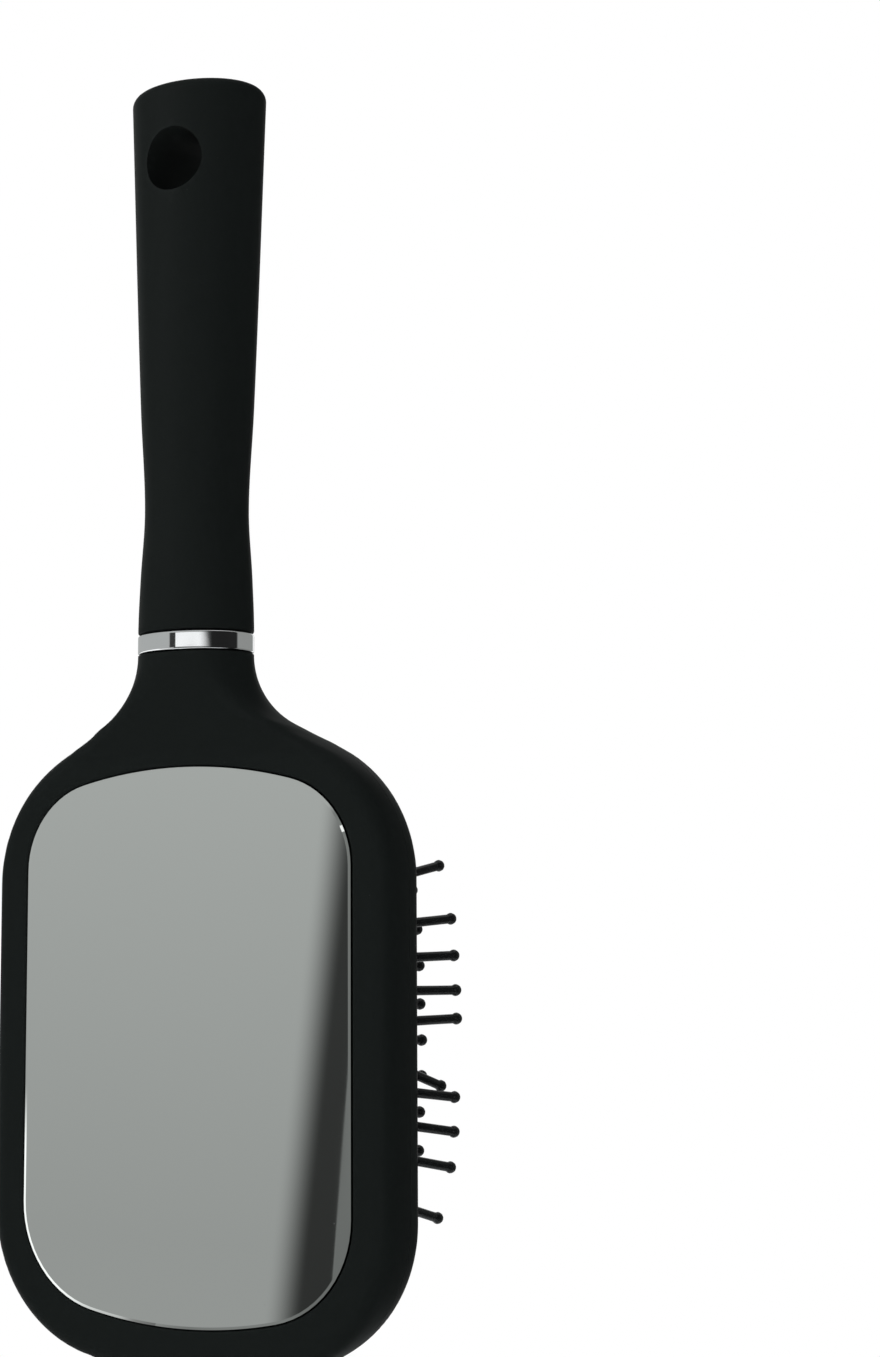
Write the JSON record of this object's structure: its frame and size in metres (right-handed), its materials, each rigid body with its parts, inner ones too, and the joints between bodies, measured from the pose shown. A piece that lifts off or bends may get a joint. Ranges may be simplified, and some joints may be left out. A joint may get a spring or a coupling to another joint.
{
  "type": "paddle hair brush with mirror",
  "caption": "Hand-held paddle hair brush with ball-tipped pins on a sprung air cushion, a flat mirror in the back of the head and a tapered grip with a hanging hole.",
  "frame": {"origin": "middle of the hanging hole, on its axis and halfway through the handle", "axes": "+Z from the head to the handle's end, so the brush hangs head down; -Y the way the pins point; +Y the way the mirror faces; +X across the head"},
  "size_m": [0.0886, 0.0442, 0.2493],
  "materials": {
    "soft_touch_shell": "soft-touch coating",
    "soft_touch_frame": "soft-touch coating",
    "pad_rubber": "matte",
    "pad_and_pins": "fine textured pad, smooth pins",
    "mirror": "polished",
    "tape": "matte",
    "chrome_ring": "bright plated",
    "core_plastic": "as moulded",
    "grip_rubber": "soft-touch",
    "steel_pin": "plain"
  },
  "bodies": {
    "brush_body": {"head_back_shell": "soft_touch_shell", "head_front_frame": "soft_touch_frame", "cushion_rim": "pad_rubber", "mirror_glass": "mirror", "mirror_tape": "tape", "collar_ring": "chrome_ring", "handle_core": "core_plastic", "grip_sleeve": "grip_rubber", "cross_pin": "steel_pin"},
    "pin_field": {"pin_row_01": "pad_and_pins", "pin_row_02": "pad_and_pins", "pin_row_03": "pad_and_pins", "pin_row_04": "pad_and_pins", "pin_row_05": "pad_and_pins", "pin_row_06": "pad_and_pins", "pin_row_07": "pad_and_pins", "pin_row_08": "pad_and_pins", "pin_row_09": "pad_and_pins", "pin_row_10": "pad_and_pins", "pin_row_11": "pad_and_pins"}
  },
  "joints": [
    {"name": "cushion_press", "type": "slide", "parent": "brush_body", "child": "pin_field", "axis": [0, 1, 0], "range_m": [0, 0.003], "stiffness_N_per_m": 2000}
  ]
}
